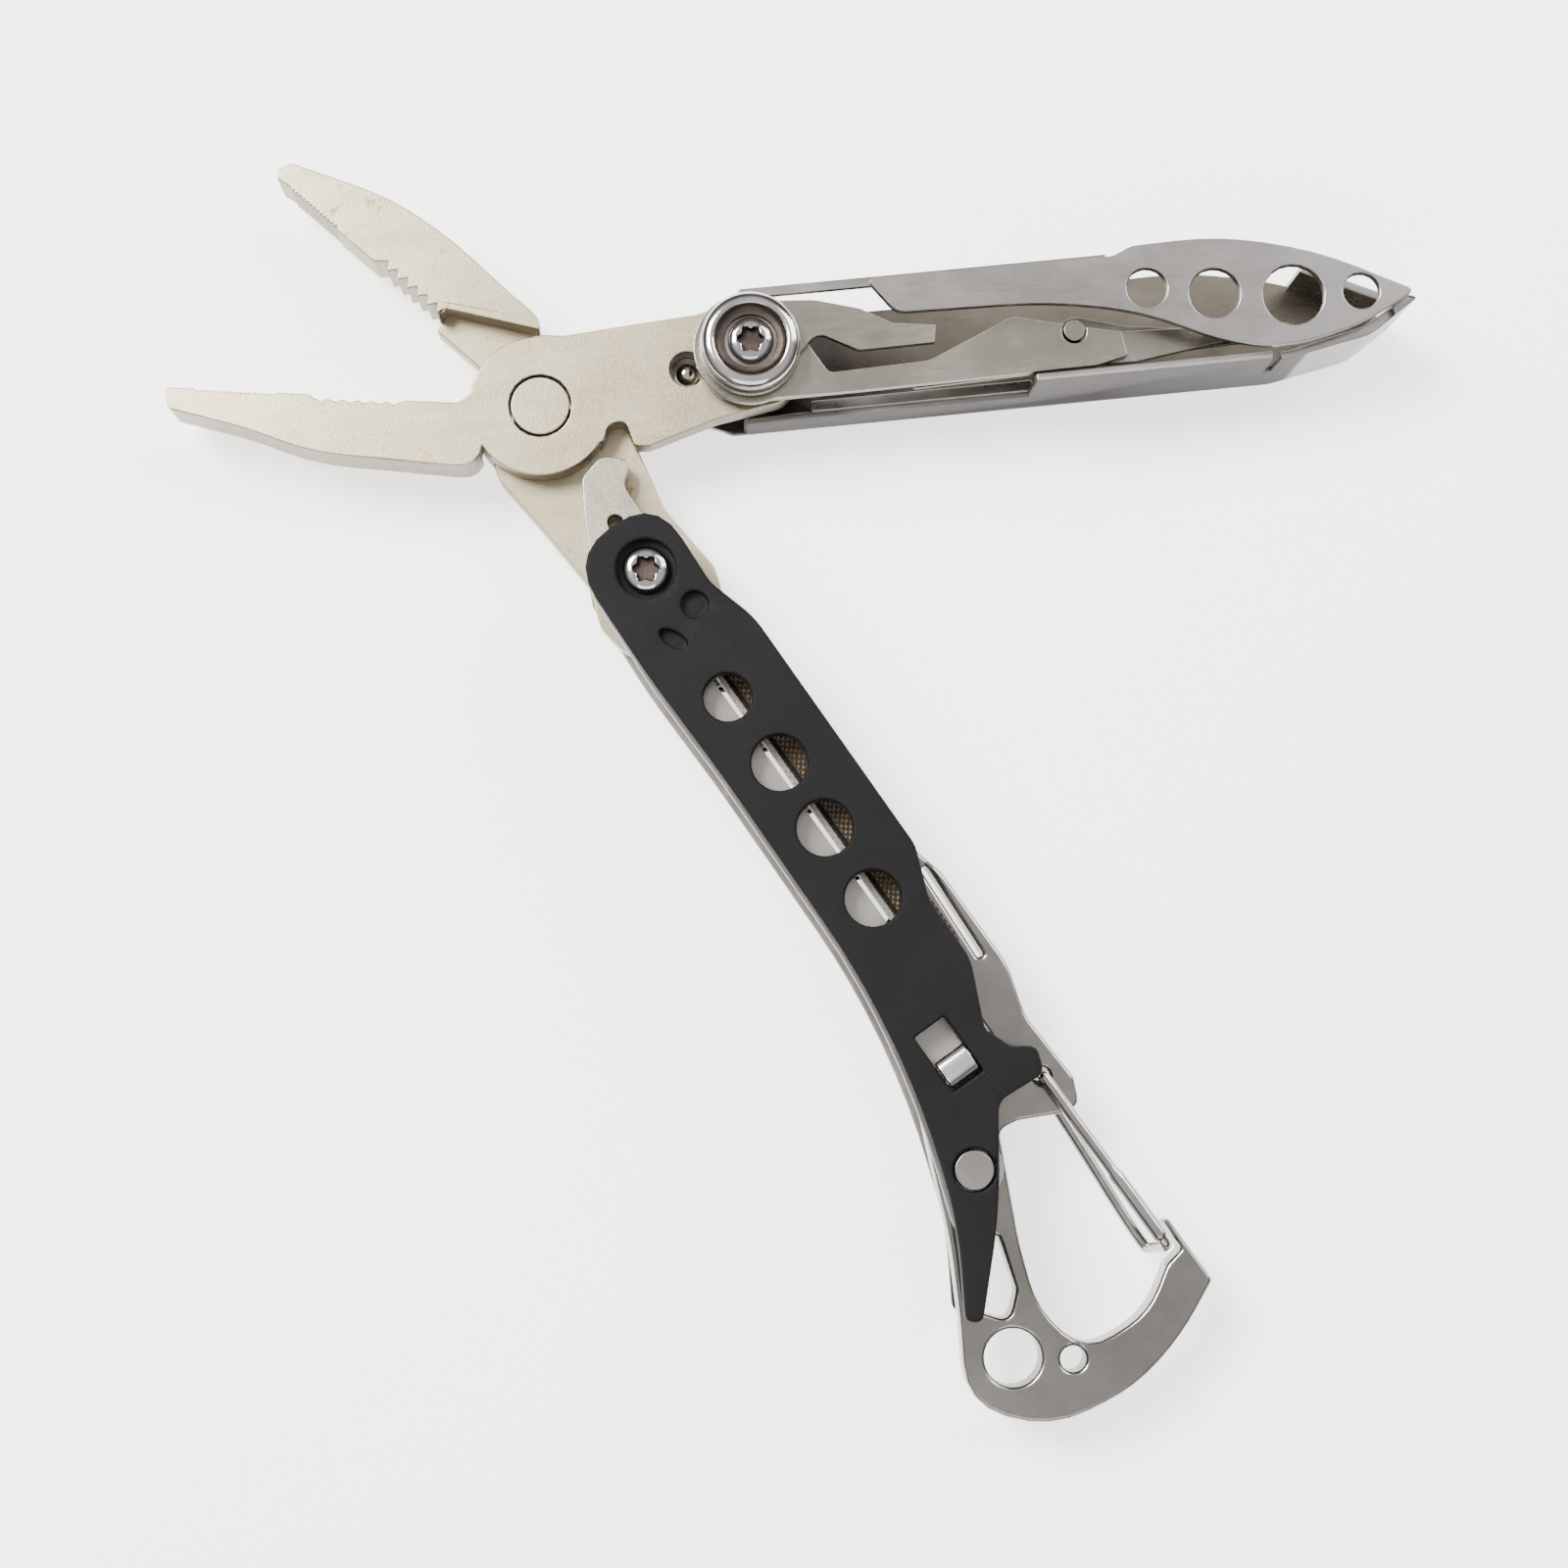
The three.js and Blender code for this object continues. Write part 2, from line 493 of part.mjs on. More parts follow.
// Two leaves joined at the tab end, with the folded tab standing up through the window.
function tweezers() {
  const leaf = [
    [9, -3.6, 0.3], [9, -0.6, 0.3], [33, -0.6, 1], [38, -1.3, 1], [44.1, -1.35, 0.3], [44.1, -4.2, 0.3],
    [38, -4.1, 4], [33, -3.7, 4],
  ];
  const [low, high] = TWEEZERS_LAYER;
  const slit = plate([[8, -5], [41.8, -5], [41.8, 0], [8, 0]], [low + LEAF_THICKNESS, high - LEAF_THICKNESS]);
  const tab = plate([
    [42.2, -3.9, 0.2], [44.5, -3.9, 0.2], [44.5, -1.6, 0.2], [42.2, -1.6, 0.2],
  ], [low, TWEEZERS_TAB_TOP]);
  return plate(leaf, TWEEZERS_LAYER).subtract(slit).add(tab);
}

// The gate is one wire: from a stub in the frame, along the top, down past the nose and back.
function wireGate() {
  const [x, y] = GATE_PIVOT;
  const nose = 63.4; // how far the wire reaches along the handle
  const over = 7.75; // height of the upper strand
  const under = 3.25; // height of the lower strand
  const points = [
    [x, y, 5.9], [x, y, over - 0.35], [x + 0.4, y, over], [x + 4, y, over], [nose - 3, 2.4, over],
    [nose - 0.5, 2.4, over], [nose, 2.3, over - 0.5], [nose, 1.6, under + 0.5],
    [nose - 0.5, 1.45, under], [nose - 3, 1.5, under], [x + 4, 2.05, under], [x + 0.4, y, under],
    [x, y, under + 0.35], [x, y, 5.1],
  ].map((point) => new THREE.Vector3(...point));
  const path = new THREE.CatmullRomCurve3(points, false, 'catmullrom', 0.3);
  const section = new THREE.Shape();
  section.absarc(0, 0, WIRE_RADIUS, 0, 2 * Math.PI);
  return toSolid(new THREE.ExtrudeGeometry(section, { steps: 44, curveSegments: 4, extrudePath: path }));
}

add(blackFrame, 'upper_scale', upperScale(), BLACK_NYLON);
add(blackFrame, 'lower_scale', lowerScale(), BLACK_NYLON);
add(blackFrame, 'upper_liner', liner(UPPER_LINER, true), SATIN_STEEL);
add(blackFrame, 'lower_liner', liner(LOWER_LINER, false), SATIN_STEEL);
add(blackFrame, 'carabiner_frame', carabinerFrame(), SATIN_STEEL);
add(blackFrame, 'nail_file', nailFile(), FILE_STEEL);
add(blackFrame, 'tweezers', tweezers(), POLISHED_STEEL);
add(blackFrame, 'wire_gate', wireGate(), POLISHED_STEEL);
add(blackFrame, 'scale_rivet', turned([
  [0, 0.1], [1.4, 0.1], [1.4, 1.4], [1.15, 1.5], [1.15, 9.5], [1.45, 9.6], [1.45, 10.95], [0, 10.95],
], ...SCALE_RIVET), SATIN_STEEL);
add(blackFrame, 'frame_pin', cylinder(...FRAME_PIN, 0.8, [1.7, 9.3], 20), POLISHED_STEEL);
add(blackFrame, 'frame_spacer_lower', spacer(SCALE_RIVET, 1.3, 2.4, [2.4, 3.9]), POLISHED_STEEL);
add(blackFrame, 'frame_spacer_upper', spacer(SCALE_RIVET, 1.3, 2.4, [7.1, 8.6]), POLISHED_STEEL);
add(blackFrame, 'pivot_washer', spacer([0, 0], PIVOT_BORE, 2.9, [8.0, 8.6]), POLISHED_STEEL);
add(blackFrame, 'pivot_screw', turned([
  [0, 0.95], [PIVOT_SHANK, 0.95], [PIVOT_SHANK, 10.15], [SCREW_HEAD, 10.2], [SCREW_HEAD, 10.7],
  [1.45, 10.98], [0, 11.0],
]).subtract(torx(0, 0, [10.4, 12])), POLISHED_STEEL);
add(blackFrame, 'pivot_nut', turned([
  [0, 0.05], [1.7, 0.05], [1.9, 0.25], [1.9, 0.85], [0, 0.85],
]), POLISHED_STEEL);

// ---- The tool's own frame: origin under the middle of its box ------------------------
tool.updateMatrixWorld(true);
const box = new THREE.Box3().setFromObject(tool, true);
tool.position.set(-(box.min.x + box.max.x) / 2, -(box.min.y + box.max.y) / 2, -box.min.z);

export default group;
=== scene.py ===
import json
import math

import bmesh
import bpy
from mathutils import Matrix, Vector


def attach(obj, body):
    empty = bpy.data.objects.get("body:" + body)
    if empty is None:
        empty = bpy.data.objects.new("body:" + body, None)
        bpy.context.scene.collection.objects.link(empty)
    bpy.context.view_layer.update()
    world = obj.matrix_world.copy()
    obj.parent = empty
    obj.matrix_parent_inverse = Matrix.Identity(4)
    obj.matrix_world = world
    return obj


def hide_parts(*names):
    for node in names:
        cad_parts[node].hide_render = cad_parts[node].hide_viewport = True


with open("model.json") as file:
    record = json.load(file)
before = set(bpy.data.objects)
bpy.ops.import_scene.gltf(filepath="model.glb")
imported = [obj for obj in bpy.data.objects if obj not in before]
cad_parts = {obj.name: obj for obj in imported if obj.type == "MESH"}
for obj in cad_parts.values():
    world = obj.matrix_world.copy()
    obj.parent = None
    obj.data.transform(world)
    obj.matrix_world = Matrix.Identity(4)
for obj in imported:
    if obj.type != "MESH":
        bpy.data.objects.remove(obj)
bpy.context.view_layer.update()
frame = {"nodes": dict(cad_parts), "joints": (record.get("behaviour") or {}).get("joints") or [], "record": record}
MM = 0.001
WELD = 0.004 * MM  # points of a CAD mesh that are closer than this are one point

# The tool's pivots, and the directions of its two handles in degrees from +X.
JOINTS = {j["name"]: j for j in frame["joints"]}
STEEL_PIVOT = Vector(JOINTS["steel_handle_fold"]["pos_m"])
BLACK_PIVOT = Vector(JOINTS["black_handle_fold"]["pos_m"])
JAW_PIVOT = Vector(JOINTS["plier_pivot"]["pos_m"])
GATE_PIVOT = Vector(JOINTS["gate_hinge"]["pos_m"])
STEEL_ANGLE = 6.1
BLACK_ANGLE = -54.35
BODY_OF = {n: body for body, names in frame["record"]["behaviour"]["bodies"].items() for n in names}

# The camera, in metres and degrees.
CAMERA_PLACE = Vector((-0.00798, -0.02161, 0.21928))
CAMERA_TARGET = Vector((-0.00053, -0.00001, 0.0055))
CAMERA_ANGLE = 30.9876


# ---- Camera and light ------------------------------------------------------------------
def look_from(place, target, name, kind):
    """A camera or light at place whose -Z axis points at target, with +X level."""
    holder = bpy.data.objects.new(name, kind)
    bpy.context.scene.collection.objects.link(holder)
    forward = (target - place).normalized()
    right = forward.cross(Vector((0, 1, 0))).normalized()
    above = right.cross(forward)
    turn = Matrix((right, above, -forward)).transposed()
    holder.matrix_world = Matrix.Translation(place) @ turn.to_4x4()
    return holder


camera = bpy.data.cameras.new("camera")
camera.sensor_fit = "HORIZONTAL"
camera.angle = math.radians(CAMERA_ANGLE)
camera.clip_start = 0.01
camera.clip_end = 5
bpy.context.scene.camera = look_from(CAMERA_PLACE, CAMERA_TARGET, "camera", camera)


def area_light(name, place, size, power, color):
    """A rectangular light in metres and watts that shines on the tool's origin."""
    data = bpy.data.lights.new(name, "AREA")
    data.shape = "RECTANGLE"
    data.size, data.size_y = size
    data.energy = power
    data.color = color
    return look_from(Vector(place), Vector((0, 0, 0)), name, data)


area_light("key", (-0.35, 0.25, 0.55), (0.30, 0.30), 13.0, (1.0, 0.98, 0.95))
area_light("fill", (0.45, 0.35, 0.45), (0.5, 0.3), 4.5, (0.97, 0.98, 1.0))
area_light("front", (0.0, -0.5, 0.5), (0.6, 0.3), 1.6, (1.0, 0.99, 0.97))

# The sky's brightness at some heights, where 0 is the horizon and 1 is straight up.
SKY_BANDS = [(0.0, 0.62), (0.12, 0.5), (0.24, 0.08), (0.42, 0.16), (0.62, 0.55), (0.8, 1.0)]
SKY_TINT = (1.0, 0.99, 0.985)


def add_sky():
    """A studio sky in light and dark bands, which the polished steel reflects."""
    world = bpy.data.worlds.new("studio")
    bpy.context.scene.world = world
    world.use_nodes = True
    tree = world.node_tree
    tree.nodes.clear()
    output = tree.nodes.new("ShaderNodeOutputWorld")
    light = tree.nodes.new("ShaderNodeBackground")
    place = tree.nodes.new("ShaderNodeTexCoord")
    split = tree.nodes.new("ShaderNodeSeparateXYZ")
    ramp = tree.nodes.new("ShaderNodeValToRGB")
    stops = ramp.color_ramp.elements
    stops[0].position = SKY_BANDS[0][0]
    stops[-1].position = SKY_BANDS[-1][0]
    for height, _ in SKY_BANDS[1:-1]:
        stops.new(height)
    for stop, (_, shade) in zip(stops, SKY_BANDS):
        stop.color = (*(shade * tint for tint in SKY_TINT), 1)
    light.inputs["Strength"].default_value = 1.0
    tree.links.new(place.outputs["Generated"], split.inputs[0])
    tree.links.new(split.outputs["Z"], ramp.inputs["Fac"])
    tree.links.new(ramp.outputs["Color"], light.inputs["Color"])
    tree.links.new(light.outputs[0], output.inputs[0])


add_sky()


# ---- Materials -------------------------------------------------------------------------
class Surface:
    """A principled material and short calls that add its procedural detail."""

    MIX_COLORS = (6, 7)  # the mix node's colour inputs and output
    MIX_RESULT = 2

    def __init__(self, name, **values):
        self.material = bpy.data.materials.new(name)
        self.material.use_nodes = True
        self.tree = self.material.node_tree
        self.shader = self.tree.nodes["Principled BSDF"]
        for socket, value in values.items():
            self.shader.inputs[socket.replace("_", " ").title()].default_value = value
        self.place = self.tree.nodes.new("ShaderNodeTexCoord").outputs["Object"]

    def node(self, kind, **settings):
        made = self.tree.nodes.new(kind)
        for key, value in settings.items():
            setattr(made, key, value)
        return made

    def link(self, start, end):
        self.tree.links.new(start, end)

    def mapped(self, degrees=0.0, scale=(1, 1, 1)):
        """Object coordinates turned about Z, then scaled."""
        turn = self.node("ShaderNodeMapping")
        turn.inputs["Rotation"].default_value = (0, 0, -math.radians(degrees))
        self.link(self.place, turn.inputs["Vector"])
        stretch = self.node("ShaderNodeMapping")
        stretch.inputs["Scale"].default_value = scale
        self.link(turn.outputs[0], stretch.inputs["Vector"])
        return stretch.outputs[0]

    def noise(self, scale, detail=3.0, roughness=0.6, vector=None):
        """Noise with about scale features in a metre, or as many in a unit of vector."""
        made = self.node("ShaderNodeTexNoise")
        made.inputs["Scale"].default_value = scale
        made.inputs["Detail"].default_value = detail
        made.inputs["Roughness"].default_value = roughness
        self.link(vector or self.place, made.inputs["Vector"])
        return made.outputs["Fac"]

    def ramp(self, value, low, high, out_low=0.0, out_high=1.0):
        """A factor that goes from out_low to out_high while value goes from low to high."""
        made = self.node("ShaderNodeMapRange")
        limits = {"From Min": low, "From Max": high, "To Min": out_low, "To Max": out_high}
        for socket, number in limits.items():
            made.inputs[socket].default_value = number
        self.link(value, made.inputs["Value"])
        return made.outputs[0]

    def math(self, kind, first, second):
        """The kind of sum of two values, each a number or a node's output."""
        made = self.node("ShaderNodeMath", operation=kind)
        for index, value in enumerate((first, second)):
            if isinstance(value, (int, float)):
                made.inputs[index].default_value = value
            else:
                self.link(value, made.inputs[index])
        return made.outputs[0]

    def mix(self, factor, first, second):
        """A colour from first at factor 0 to second at factor 1."""
        made = self.node("ShaderNodeMix", data_type="RGBA")
        self.link(factor, made.inputs[0])
        for index, value in zip(self.MIX_COLORS, (first, second)):
            if isinstance(value, tuple):
                made.inputs[index].default_value = (*value, 1)
            else:
                self.link(value, made.inputs[index])
        return made.outputs[self.MIX_RESULT]

    def height_of(self, vector):
        """The Z part of a vector."""
        parts = self.node("ShaderNodeSeparateXYZ")
        self.link(vector, parts.inputs[0])
        return parts.outputs[2]

    def facing(self):
        """1 on faces that look up, 0 on upright walls, -1 on faces that look down."""
        return self.height_of(self.node("ShaderNodeTexCoord").outputs["Normal"])

    def sides(self, low, high):
        """A factor from 0 on upright walls to 1 on faces that look up or down."""
        return self.ramp(self.math("ABSOLUTE", self.facing(), 0.0), low, high)

    def across(self, degrees, pivot):
        """The distance in metres from pivot, across the direction degrees, of each point."""
        parts = self.node("ShaderNodeSeparateXYZ")
        self.link(self.mapped(degrees), parts.inputs[0])
        turn = math.radians(degrees)
        start = pivot.y * math.cos(turn) - pivot.x * math.sin(turn)
        return self.math("SUBTRACT", parts.outputs[1], start)

    def bump(self, height, distance, strength):
        """A normal for relief of distance in metres."""
        made = self.node("ShaderNodeBump")
        made.inputs["Strength"].default_value = strength
        made.inputs["Distance"].default_value = distance
        self.link(height, made.inputs["Height"])
        return made.outputs[0]

    def use(self, socket, value):
        self.link(value, self.shader.inputs[socket])


def shaded(color, factor):
    return tuple(factor * value for value in color)


def blasted_steel(name, light, dark, stain, rough, stain_from=0.66, degrees=0.0):
    """Bead-blasted steel: fine pits, cloudy tone, long faint streaks and a few stains, with painted shade that
    darkens its upright walls.
    """
    s = Surface(name, metallic=1.0)
    grain = s.noise(7000, 2.5)
    cloud = s.noise(150, 5.0)
    streak = s.noise(1.0, 3.0, 0.6, s.mapped(degrees, (90, 900, 500)))
    spots = s.ramp(s.noise(420, 6.0, 0.7), stain_from, stain_from + 0.06)
    clouds = s.math("MULTIPLY", cloud, 0.6)
    streaks = s.math("MULTIPLY", streak, 0.4)
    tone = s.mix(s.ramp(s.math("ADD", clouds, streaks), 0.38, 0.62), dark, light)
    tone = s.mix(s.math("MULTIPLY", spots, 0.7), tone, stain)
    # painted shade: upright walls take a darker copy of the tone
    walls = s.mix(cloud, shaded(dark, 0.45), shaded(dark, 0.6))
    s.use("Base Color", s.mix(s.sides(0.15, 0.75), walls, tone))
    rough_grain = s.ramp(grain, 0.3, 0.7, rough - 0.06, rough + 0.08)
    s.use("Roughness", s.math("ADD", rough_grain, s.math("MULTIPLY", spots, 0.15)))
    s.use("Normal", s.bump(grain, 0.00003, 0.45))
    return s.material


def channel_shade_marks(s, degrees, channel, smudge):
    """The factor and colour of the painted shadow, mixed with soiling, on a channel's low floor, and the factor of
    its outer wall, which gets painted shade. In channel, (pivot, height, spine), the painted shadow lies on
    surfaces that face up lower than height, darkest near pivot, and the wall is the one beyond spine, both in mm."""
    pivot, height, spine = channel
    low = s.ramp(s.height_of(s.place), (height - 1) * MM, height * MM, 1.0, 0.0)
    up = s.ramp(s.facing(), 0.3, 0.8)
    shade_and_grime = s.math("MULTIPLY", s.math("MULTIPLY", low, up), s.ramp(smudge, 0.2, 0.8, 0.97, 0.8))
    # painted shadow: near-black close to the pivot, under the plate's end, paling farther along to a tan soiling
    # colour
    shadow_fade = s.ramp(s.across(degrees - 90, pivot), 6 * MM, 19 * MM)
    shadow_and_dirt = s.mix(shadow_fade, (0.035, 0.028, 0.026), (0.16, 0.14, 0.108))
    # the mask of the outer wall, which below gets a near-black tone of painted shade
    outer = s.ramp(s.across(degrees, pivot), (spine - 0.1) * MM, spine * MM, 1.0, 0.0)
    return shade_and_grime, shadow_and_dirt, outer


def satin_steel(name, degrees, light, dark, rough, channel=None):
    """Satin steel with a fine lengthwise grain, smudges and faint scratches, and painted shade on its upright
    walls. A channel gets painted shadow mixed with soiling on its low floor, and its outer wall is rougher and
    darker with painted shade."""
    s = Surface(name, metallic=1.0)
    brushed = s.noise(1.0, 2.0, 0.5, s.mapped(degrees, (500, 4200, 1800)))
    scratch = s.ramp(s.noise(1.0, 4.0, 0.7, s.mapped(degrees + 17, (130, 4200, 700))), 0.70, 0.76)
    smudge = s.noise(120, 4.0)
    tone = s.mix(s.ramp(smudge, 0.3, 0.7), dark, light)
    # painted shade: upright walls take a darker copy of the tone
    walls = s.mix(smudge, shaded(dark, 0.72), shaded(dark, 0.8))
    base_rough = s.ramp(brushed, 0.3, 0.7, rough - 0.02, rough + 0.02)
    smudged = s.math("ADD", base_rough, s.ramp(smudge, 0.45, 0.75, 0.0, 0.07))
    if channel:
        shade_and_grime, shadow_and_dirt, outer = channel_shade_marks(s, degrees, channel, smudge)
        # painted shadow mixed with soiling on the channel's low floor
        tone = s.mix(shade_and_grime, tone, shadow_and_dirt)
        # painted shade: the outer wall takes a near-black tone; it is also rougher
        walls = s.mix(outer, walls, s.mix(smudge, (0.060, 0.056, 0.054), (0.085, 0.080, 0.078)))
        smudged = s.math("ADD", smudged, s.math("MULTIPLY", outer, 0.3))
    s.use("Base Color", s.mix(s.sides(0.2, 0.85), walls, tone))
    s.use("Roughness", s.math("ADD", smudged, s.math("MULTIPLY", scratch, 0.05)))
    return s.material


def polished_steel(name, light, dark, rough):
    """Polished steel with faint swirl marks and handling haze."""
    s = Surface(name, metallic=1.0)
    haze = s.noise(260, 4.0)
    swirl = s.noise(1.0, 2.0, 0.5, s.mapped(40, (900, 7000, 4000)))
    s.use("Base Color", s.mix(s.ramp(haze, 0.3, 0.7), dark, light))
    s.use("Roughness", s.ramp(haze, 0.35, 0.75, rough, rough + 0.09))
    s.use("Normal", s.bump(swirl, 0.00001, 0.2))
    return s.material


FILE_CUTS = ((52, 0.34), (-40, 0.42))  # the direction of each set of teeth in degrees, and its pitch in mm
FILE_GROOVE_SHADE = (0.29, 0.66)  # a band of painted shade, for the groove between the file's plain edge and its teeth, in mm across
WAVE_BANDS = 0.314  # a wave texture of this scale has one band in a metre


def file_steel(name, degrees):
    """Cross-cut file teeth with brown discolouring in the grooves, beside a plain edge, with a band of painted
    shade between the two.
    """
    s = Surface(name, metallic=0.85)
    cuts = []
    for turn, pitch in FILE_CUTS:
        wave = s.node("ShaderNodeTexWave", wave_type="BANDS", bands_direction="X", wave_profile="TRI")
        wave.inputs["Scale"].default_value = WAVE_BANDS / (pitch * MM)
        wave.inputs["Distortion"].default_value = 0.6
        s.link(s.mapped(degrees + turn), wave.inputs["Vector"])
        cuts.append(wave.outputs["Fac"])
    teeth = s.math("MULTIPLY", cuts[0], cuts[1])
    wear = s.ramp(s.noise(500, 5.0, 0.7), 0.35, 0.7)
    tone = s.mix(s.ramp(teeth, 0.05, 0.6), (0.04, 0.029, 0.02), (0.19, 0.15, 0.105))
    tone = s.mix(s.math("MULTIPLY", wear, 0.5), tone, (0.09, 0.062, 0.036))
    across = s.across(degrees, BLACK_PIVOT)
    start, end = (edge * MM for edge in FILE_GROOVE_SHADE)
    past_plain = s.ramp(across, start - 0.01 * MM, start + 0.01 * MM)
    plain = s.math("SUBTRACT", 1.0, past_plain)
    in_teeth = s.ramp(across, end - 0.04 * MM, end + 0.04 * MM)
    # painted shade: a near-black band between the plain edge and the teeth
    groove_shade = s.math("MULTIPLY", past_plain, s.math("SUBTRACT", 1.0, in_teeth))
    tone = s.mix(plain, tone, (0.30, 0.28, 0.25))
    s.use("Base Color", s.mix(groove_shade, tone, (0.018, 0.015, 0.013)))
    cut_rough = s.ramp(teeth, 0.0, 0.8, 0.65, 0.38)
    s.use("Roughness", s.math("SUBTRACT", cut_rough, s.math("MULTIPLY", plain, 0.2)))
    s.use("Normal", s.bump(s.math("MULTIPLY", teeth, in_teeth), 0.00012, 0.9))
    return s.material


def moulded_nylon(name):
    """Charcoal moulded nylon: spark-eroded grain, slight mottling and dust in the grain."""
    s = Surface(name, metallic=0.0)
    s.shader.inputs["Specular IOR Level"].default_value = 0.16
    grain = s.noise(5200, 3.0, 0.65)
    cloud = s.noise(140, 4.0)
    scuff = s.ramp(s.noise(1.0, 4.0, 0.7, s.mapped(BLACK_ANGLE + 8, (170, 2600, 900))), 0.66, 0.74)
    tone = s.mix(s.ramp(cloud, 0.3, 0.7), (0.0028, 0.0025, 0.0030), (0.0052, 0.0046, 0.0056))
    tone = s.mix(s.ramp(grain, 0.55, 0.8, 0.0, 0.5), tone, (0.010, 0.009, 0.0105))
    s.use("Base Color", s.mix(s.math("MULTIPLY", scuff, 0.35), tone, (0.017, 0.016, 0.018)))
    s.use("Roughness", s.ramp(grain, 0.3, 0.7, 0.58, 0.74))
    s.use("Normal", s.bump(grain, 0.00004, 0.5))
    return s.material


def table_surface(name):
    """A white studio table that also glows a little, so that it stays pale."""
    s = Surface(name, roughness=0.6, emission_strength=1.7)
    s.shader.inputs["Emission Color"].default_value = (1.0, 0.995, 0.99, 1)
    cloud = s.noise(6, 3.0)
    s.use("Base Color", s.mix(cloud, (0.90, 0.895, 0.89), (0.93, 0.925, 0.925)))
    s.use("Roughness", s.ramp(s.noise(900, 2.0), 0.3, 0.7, 0.55, 0.7))
    return s.material


JAW_STEEL = blasted_steel(
    "jaw_steel", light=(0.45, 0.395, 0.285), dark=(0.36, 0.31, 0.215), stain=(0.25, 0.165, 0.035),
    rough=0.36, stain_from=0.62, degrees=12,
)
LEVER_STEEL = blasted_steel(
    "lever_steel", light=(0.46, 0.43, 0.36), dark=(0.34, 0.315, 0.26), stain=(0.28, 0.20, 0.09),
    rough=0.32, stain_from=0.7, degrees=120,
)
# painted shade for the screws' star recesses and the collar's inner ring
RECESS_SHADE = blasted_steel(
    "recess_shade_steel", light=(0.075, 0.06, 0.052), dark=(0.03, 0.024, 0.02), stain=(0.10, 0.06, 0.03),
    rough=0.45,
)
# its channel's floor below 3 mm gets painted shadow mixed with soiling, and its outer wall beyond -4.6 mm painted
# shade
STEEL_SATIN = satin_steel(
    "satin_steel_handle", STEEL_ANGLE, light=(0.33, 0.312, 0.30), dark=(0.262, 0.247, 0.237), rough=0.28,
    channel=(STEEL_PIVOT, 3.0, -4.6),
)
TOOL_SATIN = satin_steel(
    "satin_steel_tools", STEEL_ANGLE, light=(0.33, 0.31, 0.265), dark=(0.25, 0.235, 0.20), rough=0.24,
)
BLACK_SATIN = satin_steel(
    "satin_steel_frame", BLACK_ANGLE, light=(0.37, 0.35, 0.325), dark=(0.27, 0.25, 0.23), rough=0.30,
)
FRAME_SATIN = satin_steel(
    "satin_steel_carabiner", BLACK_ANGLE, light=(0.30, 0.285, 0.26), dark=(0.21, 0.198, 0.18), rough=0.2,
)
LEAF_STEEL = satin_steel(
    "satin_steel_leaf", BLACK_ANGLE, light=(0.36, 0.345, 0.315), dark=(0.30, 0.285, 0.26), rough=0.36,
)
# polished tab steel, its colour raised above the leaves' steel as a painted highlight
TAB_HIGHLIGHT_STEEL = polished_steel("polished_steel_tab_highlight", (0.80, 0.78, 0.76), (0.66, 0.64, 0.62), 0.16)
# polished wire steel, its colour lowered below the other polished steel as painted shade for the dark surroundings
# it reflects
GATE_SHADED_STEEL = polished_steel("polished_steel_wire_shaded", (0.42, 0.40, 0.385), (0.28, 0.265, 0.255), 0.07)
POLISHED = polished_steel("polished_steel", (0.55, 0.53, 0.52), (0.38, 0.36, 0.355), 0.09)
FILE = file_steel("file_steel", BLACK_ANGLE)
NYLON = moulded_nylon("black_nylon")


# ---- Mesh helpers ----------------------------------------------------------------------
def finish_piece(piece, surface, body, slot, *nodes):
    """Gives a visual piece its material, the body that it rides and the CAD nodes that it replaces."""
    piece.data.materials.clear()
    piece.data.materials.append(surface)
    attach(piece, body)
    if nodes:
        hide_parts(*nodes)
    return piece


def to_object(name, mesh, sharp=38):
    """A smooth shaded object whose edges sharper than sharp degrees stay crisp."""
    mesh.polygons.foreach_set("use_smooth", [True] * len(mesh.polygons))
    mesh.set_sharp_from_angle(angle=math.radians(sharp))
    piece = bpy.data.objects.new(name, mesh)
    bpy.context.scene.collection.objects.link(piece)
    weigh = piece.modifiers.new("even_normals", "WEIGHTED_NORMAL")
    weigh.keep_sharp = True
    weigh.weight = 80
    return piece


def rounded_copy(node, width, least=26):
    """The CAD node's mesh with every outer edge sharper than least degrees rounded to width mm."""
    work = bmesh.new()
    work.from_mesh(frame["nodes"][node].data)
    bmesh.ops.remove_doubles(work, verts=work.verts, dist=WELD)
    bmesh.ops.dissolve_limit(work, angle_limit=math.radians(0.6), verts=work.verts, edges=work.edges)
    sharp = [
        e for e in work.edges
        if len(e.link_faces) == 2 and e.is_convex and e.calc_face_angle(0) > math.radians(least)
    ]
    bmesh.ops.bevel(
        work, geom=sharp, offset=width * MM, offset_type="OFFSET", segments=2, profile=0.5,
        affect="EDGES", clamp_overlap=False, miter_outer="SHARP", miter_inner="SHARP",
    )
    mesh = bpy.data.meshes.new(node + "_finished")
    work.to_mesh(mesh)
    work.free()
    return mesh


def dress(node, surface, slot, width):
    """The CAD node itself, with rounded edges and its material."""
    piece = to_object(node + "_finished", rounded_copy(node, width))
    return finish_piece(piece, surface, BODY_OF[node], slot, node)


SHORTEST_STEP = 0.03  # mm between two points of an outline
FEWEST_POINTS = 6  # a loop with fewer is a sliver of the mesh


